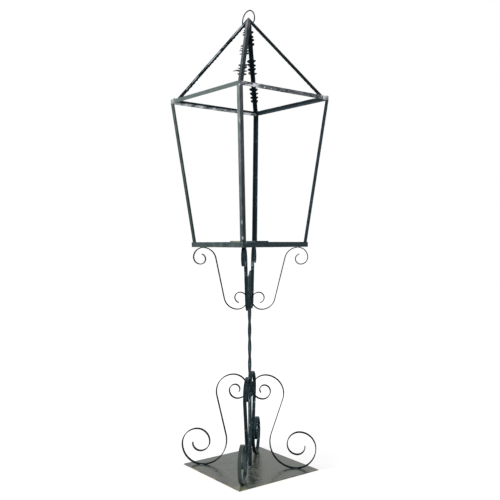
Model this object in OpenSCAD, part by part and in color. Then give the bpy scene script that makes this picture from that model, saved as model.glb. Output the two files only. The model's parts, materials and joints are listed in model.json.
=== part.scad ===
// Wrought-iron lantern stand: an open, unglazed lantern cage on a twisted
// square stem, held by four scrolled brackets and steadied by four floor scrolls.
// Millimetres, +Z up. The origin is the middle of the underside of the base plate,
// and the plate's sides run along X and Y. Scrolls, uprights and roof bars stand in
// the two vertical planes through the corners.

/* [Base plate] */
// Side of the square base plate
base_side = 356; // [300:2:460]
// Thickness of the base plate
base_thick = 3; // [2:0.5:8]

/* [Stem] */
// Side of the square bar
stem_side = 9.8; // [8:0.2:13]
// Height of the stem's pointed end above the floor
stem_top = 728; // [690:2:760]
// Length of the slanted cut at the stem's top end
stem_slant = 28; // [10:1:50]
// Height at which the twist begins
twist_start = 325; // [310:1:360]
// Length of the twisted stretch
twist_length = 250; // [180:5:260]
// How much slimmer the twisted stretch is than the plain bar
twist_slim = 0.2; // [0.2:0.05:0.5]
// Angle by which the lantern stands turned against the base, left over from the twist
lantern_turn = 2.3; // [0:0.1:6]

/* [Scroll strap] */
// Width of the flat strap
strap_width = 12.7; // [10:0.1:16]
// Thickness of the flat strap
strap_thick = 3.2; // [2:0.1:5]

/* [Floor scrolls] */
// Height of the top of the floor scrolls
scroll_top = 345.6; // [325:0.1:365]
// Radius of the first quarter of the curl beside the stem
crown_radius = 66.3; // [56:0.1:72]
// Radius of each quarter of that curl as a share of the quarter before it
crown_ratio = 0.761; // [0.74:0.001:0.8]
// Angle that the last arc of that curl runs through
crown_last = 130; // [60:1:150]
// Radius of the first quarter of the curl on the base plate
foot_radius = 94.2; // [80:0.1:98]
// Radius of each quarter of the foot curl as a share of the quarter before it
foot_ratio = 0.788; // [0.76:0.002:0.83]
// Angle that the last arc of the foot curl runs through
foot_last = 94; // [50:1:150]
// Distance from the stem's axis to where a scroll stands on the base plate
foot_distance = 175.1; // [168:0.1:190]
// How far the feet of the left and right scrolls stand off towards the front left
foot_shift = 6.8; // [0:0.1:8]

/* [Lantern brackets] */
// Height of the underside of the brackets
bracket_bottom = 583.9; // [570:0.1:595]
// Radius of the first quarter of the curl beside the stem
heel_radius = 49.8; // [44:0.1:54]
// Angle that the last arc of the lower curl runs through
heel_last = 168; // [90:1:175]
// Radius of the first quarter of the curl under the lantern
head_radius = 48.8; // [43:0.1:53]
// Angle that the last arc of the upper curl runs through
head_last = 165; // [90:1:175]
// Radius of each quarter of these curls as a share of the quarter before it
bracket_ratio = 0.728; // [0.7:0.002:0.76]
// Distance from the stem's axis to where a bracket meets the lantern's floor bars
head_distance = 175.5; // [168:0.5:178]
// How far the heads of the left and right brackets stand off towards the back right
head_shift = 3.2; // [0:0.1:5]

/* [Lantern frame] */
// Height of the underside of the lantern above the floor
lantern_floor = 815; // [800:1:840]
// Height of the cage, from its underside to the top of the upper rails
cage_height = 546; // [480:1:600]
// Outer side of the lower, smaller square
lower_side = 304; // [290:1:340]
// Outer side of the upper, larger square
upper_side = 412; // [380:1:440]
// Leg of the angle iron in the lower square
lower_leg = 18; // [15:0.5:22]
// Leg of the angle iron in the upper square and in the uprights
upper_leg = 14.6; // [11:0.1:16]
// Thickness of the angle iron
angle_thick = 2.5; // [1.6:0.1:3.2]

/* [Candle pan] */
// Outer side of the square pan
pan_side = 102; // [80:1:120]
// Height of the pan
pan_height = 19; // [10:0.5:25]
// Thickness of the sheet of the pan
pan_sheet = 1.5; // [1:0.1:2]

/* [Roof] */
// Height of the roof's point above the top of the upper rails
roof_height = 296; // [250:1:330]
// Leg of the angle iron in the roof bars
roof_leg = 13; // [11:0.1:14]
// How far the ridge of each roof bar stands onto the flat legs of the upper rails
roof_seat = 1.8; // [1:0.1:12]
// Number of barbs in each group on each edge
barb_count = 4; // [2:1:5]
// Distance from barb to barb
barb_pitch = 17; // [14:0.5:19]
// Length of a barb's root
barb_root = 9; // [6:0.5:12]
// Reach of a barb beyond the edge of the roof bar
barb_reach = 7.5; // [4:0.5:10]
// Height of a barb's tip above its root
barb_lift = 2.5; // [0:0.5:5]
// Thickness of a barb
barb_thick = 2; // [1.5:0.1:3]

/* [Hanging ring] */
// Thickness of the ring's round bar
ring_wire = 4.4; // [3:0.1:5]
// Radius of the ring's upper half, to the middle of the bar
ring_radius = 35; // [32:0.5:40]
// Radius of the two corners below, to the middle of the bar
ring_corner = 17; // [14:0.5:20]
// Depth of the ring's flat bottom, on which it swings, under the roof's point
ring_drop = 29; // [29:0.1:31]

/* [Fits] */
// Gap at each welded seat, which the weld fills
weld_gap = 0.1; // [0.05:0.01:0.3]

/* [Hidden] */
$fn = 72;

// Sides, as angles anticlockwise from above, and the corners halfway between them
RIGHT = 0;
BACK = 90;
LEFT = 180;
FRONT = 270;
BACK_RIGHT = (RIGHT + BACK) / 2;
BACK_LEFT = (BACK + LEFT) / 2;
FRONT_LEFT = (LEFT + FRONT) / 2;
FRONT_RIGHT = (FRONT + RIGHT + 360) / 2;

// Colours of the painted iron
paint = [0.13, 0.16, 0.17];
paint_lit = [0.24, 0.28, 0.29];
plate_paint = [0.33, 0.35, 0.34];

// Steps along and round the bar that stand for the smooth twist
twist_slices = 60;
twist_segments = 8;
// Quarter arcs in a floor scroll's curl and in a bracket's curl before its last arc
floor_quarters = 5;
bracket_quarters = 3;
// Middles of the three barb groups, as shares of the roof bar from its point
barb_groups = [0.20, 0.50, 0.80];
// Spare length that the cutting planes take away
spare = 60;
// Where two stretches of one bar meet at an angle, the one is a hair slimmer and is
// let into the other by a short length
hair = 0.02;
joint_bite = 0.3;

cage_top = lantern_floor + cage_height;
roof_point = cage_top + roof_height;
// Where a strap's middle runs past the stem: clear of the stem's corners,
// and of the neighbouring straps
strap_seat = max(stem_side * sqrt(2), strap_width) / 2 + weld_gap + strap_thick / 2;
// Middle line of the strap where it touches the base plate and the floor bars
foot_line = base_thick + weld_gap + strap_thick / 2;
head_line = lantern_floor - weld_gap - strap_thick / 2;
// Inner half width of the lower square, between the flanges of its rails
floor_half = lower_side / 2 - lower_leg;
// Top of the floor bars, on which the pan stands
floor_bar_top = lantern_floor + strap_thick;
// Ridge of an upright, measured along the corner's plane: inside the lower rails at
// its foot, and under the outer corner of the upper rails at its top
upright_low_z = lantern_floor + lower_leg;
upright_low_r = (lower_side / 2 - angle_thick) * sqrt(2) - weld_gap;
upright_high_z = cage_top - upper_leg - weld_gap;
upright_high_r = upper_side / sqrt(2);
upright_lean = atan((upright_high_r - upright_low_r) / (upright_high_z - upright_low_z));
// Ridge of a roof bar, which stands on the upper rails at a distance from the axis
roof_foot = (upper_side / 2 - upper_leg) * sqrt(2) + roof_seat;
roof_length = norm([roof_foot, roof_height]);
roof_lean = atan(roof_foot / roof_height);
ring_pivot_z = roof_point - ring_drop;

// ---- Shared shapes ----

// Places what follows at a corner of the base, in that corner's upright plane
module at_corner(corner) {
    rotate([0, 0, corner]) children();
}

// Turns the lantern and its brackets against the base
module lantern_turned() {
    rotate([0, 0, lantern_turn]) children();
}

// One arc of strap in the XZ plane round the origin, from one angle through a sweep
module strap_arc(radius, from, sweep) {
    rotate([90, 0, 0])
        rotate([0, 0, from])
            rotate_extrude(angle = sweep)
                translate([radius, 0])
                    square([strap_thick, strap_width], center = true);
}

// Middle of a curl's arc number i, from the middle of its first arc:
// each quarter hands over to a smaller one on the line through both middles
function arc_middle(radius, ratio, i) =
    i == 0 ? [0, 0]
    : arc_middle(radius, ratio, i - 1)
        + radius * ratio ^ (i - 1) * (1 - ratio) * [cos(90 * i), sin(90 * i)];

// A curl that starts at its right side, goes over the top and winds inward.
// Its first arc runs back from the top until it meets the tilted straight run.
// shape is its first radius, its ratio, its quarter arcs and the sweep of its last arc.
module curl(shape, tilt) {
    radius = shape[0];
    ratio = shape[1];
    quarters = shape[2];
    strap_arc(radius, 90, -90 - tilt);
    for (i = [1 : quarters]) {
        middle = arc_middle(radius, ratio, i);
        translate([middle[0], 0, middle[1]])
            strap_arc(radius * ratio ^ i, 90 * i, i < quarters ? 90 : shape[3]);
    }
}

// An S-scroll in the XZ plane: a curl near the stem, a straight run and a far curl.
// near and far are the middles of the first arcs, as [distance, height].
module s_scroll(near, near_curl, far, far_curl) {
    run = far - near;
    radii = near_curl[0] + far_curl[0];
    tilt = asin(radii / norm(run)) - atan2(run[1], run[0]) - 90;
    straight = sqrt(run * run - radii ^ 2);
    translate([near[0], 0, near[1]]) {
        curl(near_curl, tilt);
        rotate([0, tilt, 0])
            translate([near_curl[0], 0, -straight / 2])
                cube([strap_thick - 2 * hair, strap_width - 2 * hair, straight + 2 * joint_bite],
                     center = true);
    }
    translate([far[0], 0, far[1]])
        rotate([0, 180, 0]) curl(far_curl, tilt);
}

// Angle iron along +Z with its outer ridge on the Z axis and its legs towards -X
module angle_bar(leg, length) {
    reach = leg / sqrt(2);
    wall = angle_thick / sqrt(2);
    linear_extrude(length)
        polygon([
            [0, 0], [-reach, reach], [-reach - wall, reach - wall],
            [-2 * wall, 0], [-reach - wall, wall - reach], [-reach, -reach]
        ]);
}

// One rail of a square of angle iron, on its +X side and mitred at both ends.
// Its upright leg is outside; its flat leg is at the top or at the bottom.
module rail(side, leg, bottom, flat_at_top) {
    half = side / 2;
    flat_z = flat_at_top ? leg - angle_thick : 0;
    translate([0, 0, bottom])
        intersection() {
            union() {
                translate([half - angle_thick, -half, 0]) cube([angle_thick, side, leg]);
                translate([half - leg, -half, flat_z]) cube([leg, side, angle_thick]);
            }
            linear_extrude(leg) polygon([[0, 0], [half, -half], [half, half]]);
        }
}

// ---- Base and stem ----

module base_plate() {
    color(plate_paint)
        translate([-base_side / 2, -base_side / 2, 0])
            cube([base_side, base_side, base_thick]);
}

module stem() {
    low = base_thick + weld_gap;
    high = twist_start + twist_length;
    half = stem_side / 2;
    twist_angle = 360 - lantern_turn;
    let_in = twist_angle * joint_bite / twist_length;
    color(paint) {
        translate([-half, -half, low]) cube([stem_side, stem_side, twist_start - low]);
        translate([0, 0, twist_start - joint_bite])
            rotate([0, 0, let_in])
                linear_extrude(twist_length + 2 * joint_bite, twist = twist_angle + 2 * let_in,
                               slices = twist_slices, segments = twist_segments)
                    square(stem_side - twist_slim, center = true);
        lantern_turned()
            translate([half, 0, 0])
                rotate([0, -90, 0])
                    linear_extrude(stem_side)
                        polygon([
                            [high, -half], [stem_top - stem_slant, -half],
                            [stem_top, half], [high, half]
                        ]);
    }
}

// ---- Scrolls ----

module floor_scroll(corner) {
    crown = [crown_radius, crown_ratio, floor_quarters, crown_last];
    foot = [foot_radius, foot_ratio, floor_quarters, foot_last];
    distance = foot_distance - foot_shift * cos(corner - BACK_RIGHT);
    color(paint)
        at_corner(corner)
            s_scroll([strap_seat + crown_radius * crown_ratio,
                      scroll_top - strap_thick / 2 - crown_radius], crown,
                     [distance, foot_line + foot_radius], foot);
}

// A bracket is such an S-scroll stood on its head
module bracket(corner) {
    heel = [heel_radius, bracket_ratio, bracket_quarters, heel_last];
    head = [head_radius, bracket_ratio, bracket_quarters, head_last];
    distance = head_distance + head_shift * cos(corner - BACK_RIGHT);
    color(paint)
        lantern_turned()
            at_corner(corner)
                mirror([0, 0, 1])
                    s_scroll([strap_seat + heel_radius * bracket_ratio,
                              -(bracket_bottom + strap_thick / 2 + heel_radius)], heel,
                             [distance, head_radius - head_line], head);
}

// ---- Lantern floor ----

module lower_rail(side) {
    color(paint_lit)
        lantern_turned()
            rotate([0, 0, side]) rail(lower_side, lower_leg, lantern_floor, false);
}

// Flat bar from corner to corner of the floor, its ends cut to the corner
module floor_bar() {
    half = floor_half - weld_gap;
    color(paint)
        lantern_turned()
            translate([0, 0, lantern_floor])
                intersection() {
                    at_corner(BACK_RIGHT)
                        translate([-lower_side, -strap_width / 2, 0])
                            cube([2 * lower_side, strap_width, strap_thick]);
                    translate([-half, -half, 0]) cube([2 * half, 2 * half, strap_thick]);
                }
}

// Half of the other flat bar, butted against the side of the first one
module floor_half_bar(corner) {
    half = floor_half - weld_gap;
    color(paint)
        lantern_turned()
            translate([0, 0, lantern_floor])
                intersection() {
                    at_corner(corner)
                        translate([strap_width / 2, -strap_width / 2, 0])
                            cube([lower_side, strap_width, strap_thick]);
                    translate([-half, -half, 0]) cube([2 * half, 2 * half, strap_thick]);
                }
}

module candle_pan() {
    inner = pan_side - 2 * pan_sheet;
    color(paint_lit)
        lantern_turned()
            translate([0, 0, floor_bar_top])
                difference() {
                    translate([-pan_side / 2, -pan_side / 2, 0])
                        cube([pan_side, pan_side, pan_height]);
                    translate([-inner / 2, -inner / 2, pan_sheet])
                        cube([inner, inner, pan_height]);
                }
}

// ---- Cage ----

module upright(corner) {
    foot_z = lantern_floor + angle_thick;
    below = spare / cos(upright_lean);
    color(paint_lit)
        lantern_turned()
            at_corner(corner)
                intersection() {
                    translate([upright_low_r, 0, upright_low_z])
                        rotate([0, upright_lean, 0])
                            translate([0, 0, -below])
                                angle_bar(upper_leg, cage_height + 2 * below);
                    translate([0, -upper_side / 2, foot_z])
                        cube([upper_side, upper_side, upright_high_z - foot_z]);
                }
}

module upper_rail(side) {
    color(paint)
        lantern_turned()
            rotate([0, 0, side]) rail(upper_side, upper_leg, cage_top - upper_leg, true);
}

// ---- Roof ----

// One barb on the +Y edge of a roof bar, at a height along it: a thorn whose
// upper edge runs out level and whose lower edge slopes back
module barb(height) {
    edge = roof_leg / sqrt(2);
    translate([-edge - barb_thick, 0, height])
        rotate([90, 0, 90])
            linear_extrude(barb_thick)
                polygon([
                    [edge - barb_thick, -barb_root / 2],
                    [edge + barb_reach, barb_root / 2 + barb_lift],
                    [edge - barb_thick, barb_root / 2]
                ]);
}

// The barbs of one edge, in groups
module barb_row() {
    for (group = barb_groups)
        for (i = [0 : barb_count - 1])
            barb(roof_length * (1 - group) + (i - (barb_count - 1) / 2) * barb_pitch);
}

module roof_bar(corner) {
    color(paint)
        lantern_turned()
            at_corner(corner)
                intersection() {
                    translate([roof_foot, 0, cage_top])
                        rotate([0, -roof_lean, 0]) {
                            translate([0, 0, -spare]) angle_bar(roof_leg, roof_length + 2 * spare);
                            barb_row();
                            mirror([0, 1, 0]) barb_row();
                        }
                    translate([0, 0, cage_top])
                        linear_extrude(roof_height + spare)
                            polygon([[0, 0], [upper_side, -upper_side], [upper_side, upper_side]]);
                }
}

// Hanging ring: a half circle on top and a flat bottom with round corners. It stands up
// round the roof's point and swings about its own bottom.
module hanging_ring() {
    middle = ring_radius - ring_corner;
    color(paint)
        lantern_turned()
            translate([0, 0, ring_pivot_z + ring_corner])
                rotate([90, 0, 0]) {
                    rotate_extrude(angle = 180)
                        translate([ring_radius, 0]) circle(d = ring_wire);
                    translate([-middle, -ring_corner, 0])
                        rotate([0, 90, 0]) cylinder(h = 2 * middle, d = ring_wire);
                    for (side = [0, 1])
                        mirror([side, 0, 0])
                            translate([middle, 0, 0])
                                rotate([0, 0, -90])
                                    rotate_extrude(angle = 90)
                                        translate([ring_corner, 0]) circle(d = ring_wire);
                }
}

// ---- Nodes ----

base_plate();
stem();
floor_scroll(FRONT_RIGHT);  // floor_scroll_front_right
floor_scroll(BACK_RIGHT);  // floor_scroll_back_right
floor_scroll(BACK_LEFT);  // floor_scroll_back_left
floor_scroll(FRONT_LEFT);  // floor_scroll_front_left
bracket(FRONT_RIGHT);  // bracket_front_right
bracket(BACK_RIGHT);  // bracket_back_right
bracket(BACK_LEFT);  // bracket_back_left
bracket(FRONT_LEFT);  // bracket_front_left
lower_rail(RIGHT);  // lower_rail_right
lower_rail(BACK);  // lower_rail_back
lower_rail(LEFT);  // lower_rail_left
lower_rail(FRONT);  // lower_rail_front
floor_bar();
floor_half_bar(BACK_LEFT);  // floor_half_bar_back
floor_half_bar(FRONT_RIGHT);  // floor_half_bar_front
candle_pan();
upright(FRONT_RIGHT);  // upright_front_right
upright(BACK_RIGHT);  // upright_back_right
upright(BACK_LEFT);  // upright_back_left
upright(FRONT_LEFT);  // upright_front_left
upper_rail(RIGHT);  // upper_rail_right
upper_rail(BACK);  // upper_rail_back
upper_rail(LEFT);  // upper_rail_left
upper_rail(FRONT);  // upper_rail_front
roof_bar(FRONT_RIGHT);  // roof_bar_front_right
roof_bar(BACK_RIGHT);  // roof_bar_back_right
roof_bar(BACK_LEFT);  // roof_bar_back_left
roof_bar(FRONT_LEFT);  // roof_bar_front_left
hanging_ring();
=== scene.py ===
# %% [markdown]
# # A wrought-iron lantern stand
# A smith's lantern on a stand: a square plate on the floor, a square bar twisted in its
# middle, four big scrolls at the foot and four smaller ones under the lantern, an open
# tapered cage of angle iron, a pointed roof with barbs chiselled up along its bars, and a
# loose ring to hang it by. Every piece here is made the way a smith makes it: a section
# of bar is run along a path, sawn off, bent, and welded to its neighbours.

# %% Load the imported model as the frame
import json
import math
import random

import bmesh
import bpy
from mathutils import Matrix, Vector

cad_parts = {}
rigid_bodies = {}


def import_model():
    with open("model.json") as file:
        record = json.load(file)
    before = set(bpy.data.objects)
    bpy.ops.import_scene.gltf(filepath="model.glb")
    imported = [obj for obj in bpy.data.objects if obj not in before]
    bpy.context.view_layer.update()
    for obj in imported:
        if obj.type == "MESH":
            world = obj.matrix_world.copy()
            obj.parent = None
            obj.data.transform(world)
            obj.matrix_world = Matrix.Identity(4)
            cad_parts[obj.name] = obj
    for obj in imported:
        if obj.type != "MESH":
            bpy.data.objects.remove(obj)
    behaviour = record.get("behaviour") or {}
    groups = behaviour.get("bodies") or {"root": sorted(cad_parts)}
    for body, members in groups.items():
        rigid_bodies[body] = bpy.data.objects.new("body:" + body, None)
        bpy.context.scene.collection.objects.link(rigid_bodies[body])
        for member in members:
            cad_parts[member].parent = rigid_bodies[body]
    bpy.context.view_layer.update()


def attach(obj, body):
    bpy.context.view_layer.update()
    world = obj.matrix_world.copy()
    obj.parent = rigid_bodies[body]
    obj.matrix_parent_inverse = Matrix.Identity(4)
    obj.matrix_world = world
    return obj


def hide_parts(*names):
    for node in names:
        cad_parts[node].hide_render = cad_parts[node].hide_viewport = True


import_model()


def add_object(name, data):
    """A new object for a mesh, a lamp or a camera, linked to the scene."""
    made = bpy.data.objects.new(name, data)
    bpy.context.scene.collection.objects.link(made)
    return made


# %% [markdown]
# ## The camera
# The picture was taken from two and a half metres away and 0.84 m above the floor, almost
# in line with two of the corners. The lens is given as a focal length in picture widths,
# which doesn't depend on any sensor.

# %% Camera
VIEW_TURN = 53.2474  # degrees round the stand, anticlockwise from the front
VIEW_DISTANCE = 2.5397
VIEW_HEIGHT = 0.8408
VIEW_PITCH = 0.8377  # degrees down
VIEW_ROLL = 0.206
VIEW_YAW = -0.061
FOCAL = 1.3798  # focal length in picture widths

lens = bpy.data.cameras.new("camera")
lens.sensor_fit = "HORIZONTAL"
lens.sensor_width = 36
lens.lens = FOCAL * lens.sensor_width
camera = add_object("camera", lens)
turn = math.radians(VIEW_TURN)
camera.location = (VIEW_DISTANCE * math.sin(turn), -VIEW_DISTANCE * math.cos(turn), VIEW_HEIGHT)
camera.rotation_euler = (
    math.radians(90 - VIEW_PITCH),
    math.radians(VIEW_ROLL),
    math.radians(VIEW_TURN + VIEW_YAW),
)
bpy.context.scene.camera = camera
print("lens:", round(lens.lens, 2), "mm on a 36 mm sensor")

# %% [markdown]
# ## The sizes
# These are the sizes that the solids were built to, in millimetres, under the same names.
# What follows from them is worked out once, so that a strap starts exactly where its
# solid does. Angles round the stand are anticlockwise from above, and a corner lies
# halfway between two sides.

# %% Sizes in millimetres
MM = 0.001
BASE_SIDE, BASE_THICK = 356, 3
STEM_SIDE, STEM_TOP, STEM_SLANT = 9.8, 728, 28
TWIST_START, TWIST_LENGTH, LANTERN_TURN = 325, 250, 2.3
STRAP_WIDTH, STRAP_THICK, WELD_GAP = 12.7, 3.2, 0.1
SCROLL_TOP, CROWN_RADIUS, CROWN_RATIO, CROWN_LAST = 345.6, 66.3, 0.761, 130
FOOT_RADIUS, FOOT_RATIO, FOOT_LAST = 94.2, 0.788, 94
FOOT_DISTANCE, FOOT_SHIFT, FLOOR_QUARTERS = 175.1, 6.8, 5
BRACKET_BOTTOM, HEEL_RADIUS, HEEL_LAST = 583.9, 49.8, 168
HEAD_RADIUS, HEAD_LAST, BRACKET_RATIO, BRACKET_QUARTERS = 48.8, 165, 0.728, 3
HEAD_DISTANCE, HEAD_SHIFT = 175.5, 3.2
LANTERN_FLOOR, CAGE_HEIGHT, LOWER_SIDE, UPPER_SIDE = 815, 546, 304, 412
LOWER_LEG, UPPER_LEG, ANGLE_THICK = 18, 14.6, 2.5
PAN_SIDE, PAN_HEIGHT, PAN_SHEET = 102, 19, 1.5
ROOF_HEIGHT, ROOF_LEG, ROOF_SEAT = 296, 13, 1.8
RING_WIRE, RING_RADIUS, RING_CORNER, RING_DROP = 4.4, 35, 17, 29

CAGE_TOP = LANTERN_FLOOR + CAGE_HEIGHT
ROOF_POINT = CAGE_TOP + ROOF_HEIGHT
ROOF_FOOT = (UPPER_SIDE / 2 - UPPER_LEG) * math.sqrt(2) + ROOF_SEAT
STRAP_SEAT = max(STEM_SIDE * math.sqrt(2), STRAP_WIDTH) / 2 + WELD_GAP + STRAP_THICK / 2
FOOT_LINE = BASE_THICK + WELD_GAP + STRAP_THICK / 2
HEAD_LINE = LANTERN_FLOOR - WELD_GAP - STRAP_THICK / 2
UPRIGHT_TOP = CAGE_TOP - UPPER_LEG - WELD_GAP

CORNERS = {"front_right": 315, "back_right": 45, "back_left": 135, "front_left": 225}
LANTERN_CORNERS = {corner: angle + LANTERN_TURN for corner, angle in CORNERS.items()}
SIDES = {"right": 0, "back": 90, "left": 180, "front": 270}


def around(angle, distance=1.0, height=0.0):
    """The point at a distance from the axis and a height, in the direction of an angle."""
    radians = math.radians(angle)
    return Vector((distance * math.cos(radians), distance * math.sin(radians), height))


def beside(angle, distance, height, across):
    """Such a point, moved square to its direction: anticlockwise where across is positive."""
    return around(angle, distance, height) + around(angle + 90, across)


def off_centre(angle, distance, shift):
    """A distance from the axis that grows by the shift towards the back right corner."""
    return distance + shift * math.cos(math.radians(angle - CORNERS["back_right"]))


UP, DOWN = Vector((0, 0, 1)), Vector((0, 0, -1))
ROOF_TIP = UP * ROOF_POINT
print("roof point at", ROOF_POINT, "mm, roof foot", round(ROOF_FOOT, 1), "mm from the axis")

# %% [markdown]
# ## Paint effects shared by every finish
# The iron is brush-painted in a blue-green black. The paint is thin on the corners, so it
# wears there, and thick on the flats, where it lies in soft uneven patches. One group of
# shader nodes makes these patches, and a second one makes the wear: it takes how near a
# spot is to a corner of the bar, which each mesh carries as the attribute "edge", and
# breaks it up with noise. Some finishes use that second group for painted light too:
# painted highlights on the corners of some, painted shade on those of others, and a
# painted reflection along one roof bar. A third one makes single ragged spots, some of
# them painted highlights and painted shade. All three give out only colours and numbers,
# so each finish keeps its own shader.

# %% A small kit for building node trees
NUMBER, COLOUR, VECTOR = "NodeSocketFloat", "NodeSocketColor", "NodeSocketVector"
GEOMETRY, OBJECT, COLLECTION = ("NodeSocketGeometry", "NodeSocketObject",
                                "NodeSocketCollection")
INTEGER, MATERIAL = "NodeSocketInt", "NodeSocketMaterial"


class Wiring:
    """Fills the node tree of a material or a world."""

    def __init__(self, owner):
        owner.use_nodes = True
        self.tree = owner.node_tree
        self.tree.nodes.clear()

    def add(self, kind, inputs=None, **settings):
        """Adds a node, sets its options, fills its inputs, and gives its outputs."""
        node = self.tree.nodes.new(kind)
        for option, value in settings.items():
            setattr(node, option, value)
        for key, value in (inputs or {}).items():
            if isinstance(value, bpy.types.NodeSocket):
                self.tree.links.new(value, node.inputs[key])
            else:
                node.inputs[key].default_value = value
        return node.outputs

    def math(self, operation, *values, **settings):
        return self.add("ShaderNodeMath", dict(enumerate(values)), operation=operation,
                        **settings)[0]

    def vectors(self, operation, inputs, output=0):
        return self.add("ShaderNodeVectorMath", inputs, operation=operation)[output]

    def blend(self, share, under, over):
        """A colour that goes from one to another with a share from 0 to 1."""
        return self.add("ShaderNodeMix", {"Factor": share, 6: under, 7: over},
                        data_type="RGBA")[2]

    def ranged(self, value, low, high, to_low=0.0, to_high=1.0, kind="LINEAR"):
        """A value's place between two others, spread over a range of its own."""
        return self.add("ShaderNodeMapRange",
                        {"Value": value, "From Min": low, "From Max": high,
                         "To Min": to_low, "To Max": to_high}, interpolation_type=kind)[0]


class Group(Wiring):
    """Builds a node group, from its sockets inwards."""

    def __init__(self, name, kind, takes, gives):
        self.tree = bpy.data.node_groups.new(name, kind)
        for way, sockets in (("INPUT", takes), ("OUTPUT", gives)):
            for title, socket in sockets.items():
                self.tree.interface.new_socket(title, in_out=way, socket_type=socket)
        self.start = self.tree.nodes.new("NodeGroupInput").outputs
        self.end = self.tree.nodes.new("NodeGroupOutput").inputs

    def out(self, title, socket):
        self.tree.links.new(socket, self.end[title])

    def noise(self, scale, detail, **inputs):
        """Noise round 0 at the group's place."""
        inputs = {"Vector": self.start["Place"], "Scale": scale, "Detail": detail, **inputs}
        return self.math("SUBTRACT", self.add("ShaderNodeTexNoise", inputs)["Fac"], 0.5)

    def carried(self, name, kind="FLOAT_VECTOR"):
        """What the points of a mesh carry under a name."""
        return self.add("GeometryNodeInputNamedAttribute", {"Name": name},
                        data_type=kind)["Attribute"]

    def random_vector(self, low, high):
        return self.add("FunctionNodeRandomValue", {0: low, 1: high, "Seed": self.start["Seed"]},
                        data_type="FLOAT_VECTOR")[0]

    def moved(self, geometry, direction, reach):
        push = self.vectors("SCALE", {0: direction, "Scale": reach})
        return self.add("GeometryNodeSetPosition", {"Geometry": geometry, "Offset": push})[0]

    def finished(self, title, geometry):
        """Every Geometry Nodes tree here ends so: real geometry, in the finish given."""
        real = self.add("GeometryNodeRealizeInstances", {"Geometry": geometry})[0]
        self.out(title, self.add("GeometryNodeSetMaterial", {
            "Geometry": real, "Material": self.start["Finish"]})[0])
        print("tree:", self.tree.name)
        return self.tree


# %% Shader group: brushed patches
BRUSH_GRIT, BRUSH_BRISTLES = 110.0, 420.0  # marks per metre


def patches_group():
    w = Group("brushed patches", "ShaderNodeTree",
              {"Place": VECTOR, "Dark": COLOUR, "Light": COLOUR, "Patch size": NUMBER,
               "Contrast": NUMBER, "Brush depth": NUMBER},
              {"Color": COLOUR, "Patch": NUMBER, "Height": NUMBER})
    scale = w.math("DIVIDE", 1.0, w.start["Patch size"])
    push = w.math("MULTIPLY_ADD", w.noise(scale, 4.0, Roughness=0.6), w.start["Contrast"],
                  0.5, use_clamp=True)
    marks = w.math("MULTIPLY_ADD", w.noise(BRUSH_GRIT, 2.0), 2.0,
                   w.noise(BRUSH_BRISTLES, 3.0))
    w.out("Color", w.blend(push, w.start["Dark"], w.start["Light"]))
    w.out("Patch", push)
    w.out("Height", w.math("MULTIPLY", marks, w.start["Brush depth"]))
    return w.tree


PATCHES = patches_group()
print("group:", PATCHES.name)

# %% Shader group: wear and painted light along the edges
CRUMBS, STRETCHES = 160.0, 22.0  # per metre: the small breaks and the long ones
WEAR_STARTS, WEAR_FULL = 0.48, 0.62


def wear_and_light_group():
    w = Group("edge wear", "ShaderNodeTree",
              {"Place": VECTOR, "Edge": NUMBER, "Amount": NUMBER, "Chips": NUMBER},
              {"Worn": NUMBER})
    broken = w.math("MULTIPLY_ADD", w.noise(STRETCHES, 2.0), 1.4,
                    w.noise(CRUMBS, 5.0, Roughness=0.7))
    wear_and_light_mask = w.math("MULTIPLY_ADD", w.start["Edge"], w.start["Amount"], w.start["Chips"])
    total = w.math("MULTIPLY_ADD", broken, 1.6, wear_and_light_mask)
    w.out("Worn", w.ranged(total, WEAR_STARTS, WEAR_FULL, kind="SMOOTHSTEP"))
    return w.tree


WEAR_AND_LIGHT = wear_and_light_group()
print("group:", WEAR_AND_LIGHT.name)

# %% Shader group: one ragged spot
SPOT_FULL, SPOT_ENDS = 0.6, 1.1  # shares of the reach


def spot_group():
    w = Group("ragged spot", "ShaderNodeTree",
              {"Place": VECTOR, "Middle": VECTOR, "Reach": NUMBER, "Ragged": NUMBER,
               "Crumb size": NUMBER, "Strength": NUMBER}, {"Mask": NUMBER})
    far = w.vectors("DISTANCE", {0: w.start["Place"], 1: w.start["Middle"]}, "Value")
    share = w.math("DIVIDE", far, w.start["Reach"])
    crumb = w.noise(w.math("DIVIDE", 1.0, w.start["Crumb size"]), 3.0)
    broken = w.math("MULTIPLY_ADD", crumb, w.start["Ragged"], share)
    w.out("Mask", w.ranged(broken, SPOT_FULL, SPOT_ENDS, w.start["Strength"], 0.0,
                           "SMOOTHSTEP"))
    return w.tree


SPOT = spot_group()
print("group:", SPOT.name)

# %% [markdown]
# ## The finishes
# A finish is the paint's two colours, how patchy it is, how much bare or rusty metal
# shows, and how shiny it is. One function places the three groups and a shader for each
# finish, so that the black bars, the greener ones with dust and painted light on the lit
# side and the rusty-edged plate are one family and differ only in their values. Some
# finishes are lit and shaded copies of the one paint, with the light and shade painted
# into their colours.

# %% Finishes
TEAL = (0.62, 0.92, 1.0)  # the paint's own tint in what it reflects
CRUMB_SHARE, SMALLEST_CRUMB = 0.2, 3  # of a spot's reach, and in mm
BUMP_HEIGHT = 0.0004  # metres


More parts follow.
